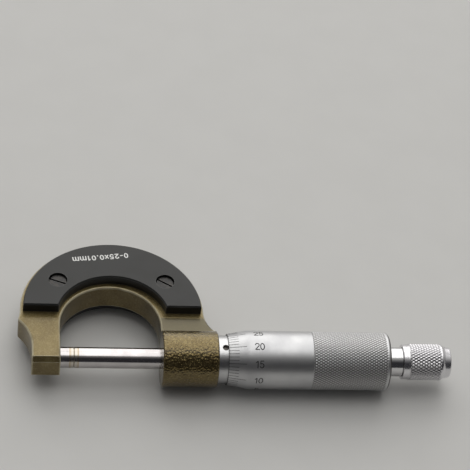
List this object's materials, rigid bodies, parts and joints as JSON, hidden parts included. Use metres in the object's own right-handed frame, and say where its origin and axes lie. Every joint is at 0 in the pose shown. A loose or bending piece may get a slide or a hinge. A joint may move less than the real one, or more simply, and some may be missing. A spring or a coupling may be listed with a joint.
{
  "type": "outside micrometer",
  "caption": "Outside micrometer with a cast C frame, moulded grip plates, a screw-driven spindle, a bevelled thimble, a ratchet knob and a spindle clamp.",
  "frame": {"origin": "middle of the bounding box at its base: the tool lies on its side on its thimble and front plate", "axes": "+X along the spindle's axis from the anvil to the ratchet, +Y from the axis to the back of the C, +Z out of the back plate"},
  "size_m": [0.1346, 0.0536, 0.0181],
  "materials": {
    "frame_enamel": "olive-bronze hammered enamel on cast iron",
    "grip_plate": "satin black moulded plastic",
    "black_screw": "blackened steel",
    "polished_steel": "polished ground steel",
    "measuring_face": "lapped hard metal",
    "plain_steel": "plain turned steel",
    "spring_wire": "spring wire",
    "satin_chrome": "satin chrome plate",
    "bright_chrome": "bright chrome plate",
    "brass": "plain turned brass"
  },
  "bodies": {
    "frame": {"frame": "frame_enamel", "anvil": "polished_steel", "anvil_tip": "measuring_face", "back_plate": "grip_plate", "front_plate": "grip_plate", "back_plate_screws": "black_screw", "front_plate_screws": "black_screw", "inner_sleeve": "plain_steel", "adjusting_nut": "plain_steel", "lock_shoe": "brass"},
    "scale_sleeve": {"scale_sleeve": "satin_chrome"},
    "spindle": {"spindle": "polished_steel", "spindle_tip": "measuring_face"},
    "thimble": {"thimble": "satin_chrome", "ratchet_stem": "bright_chrome", "ratchet_wheel": "plain_steel", "end_screw": "bright_chrome"},
    "ratchet_knob": {"ratchet_knob": "bright_chrome", "ratchet_spring": "spring_wire"},
    "ratchet_pawl": {"ratchet_pawl": "plain_steel"},
    "lock_lever": {"lock_lever": "bright_chrome", "lock_stud": "plain_steel", "lever_screw": "bright_chrome"}
  },
  "joints": [
    {"name": "spindle_slide", "type": "slide", "parent": "frame", "child": "spindle", "axis": [1, 0, 0], "range_m": [0, 0.025]},
    {"name": "thimble_turn", "type": "hinge", "parent": "spindle", "child": "thimble", "pos_m": [0.00978, -0.01777, 0.00905], "axis": [1, 0, 0], "range_deg": [0, 18000]},
    {"name": "knob_turn", "type": "hinge", "parent": "thimble", "child": "ratchet_knob", "pos_m": [0.05978, -0.01777, 0.00905], "axis": [1, 0, 0], "continuous": true},
    {"name": "pawl_slide", "type": "slide", "parent": "ratchet_knob", "child": "ratchet_pawl", "axis": [1, 0, 0], "range_m": [0, 0.0006], "stiffness_N_per_m": 300, "springref_m": -0.002, "deforming": ["ratchet_spring"]},
    {"name": "sleeve_turn", "type": "hinge", "parent": "frame", "child": "scale_sleeve", "pos_m": [-0.00422, -0.01777, 0.00905], "axis": [1, 0, 0], "range_deg": [-15, 15]},
    {"name": "lever_turn", "type": "hinge", "parent": "frame", "child": "lock_lever", "pos_m": [-0.01372, -0.00677, 0.00355], "axis": [0, 0, 1], "range_deg": [0, 30]}
  ],
  "couplings": [
    {"joint": "thimble_turn", "follows": "spindle_slide", "rad_per_m": 12566}
  ]
}
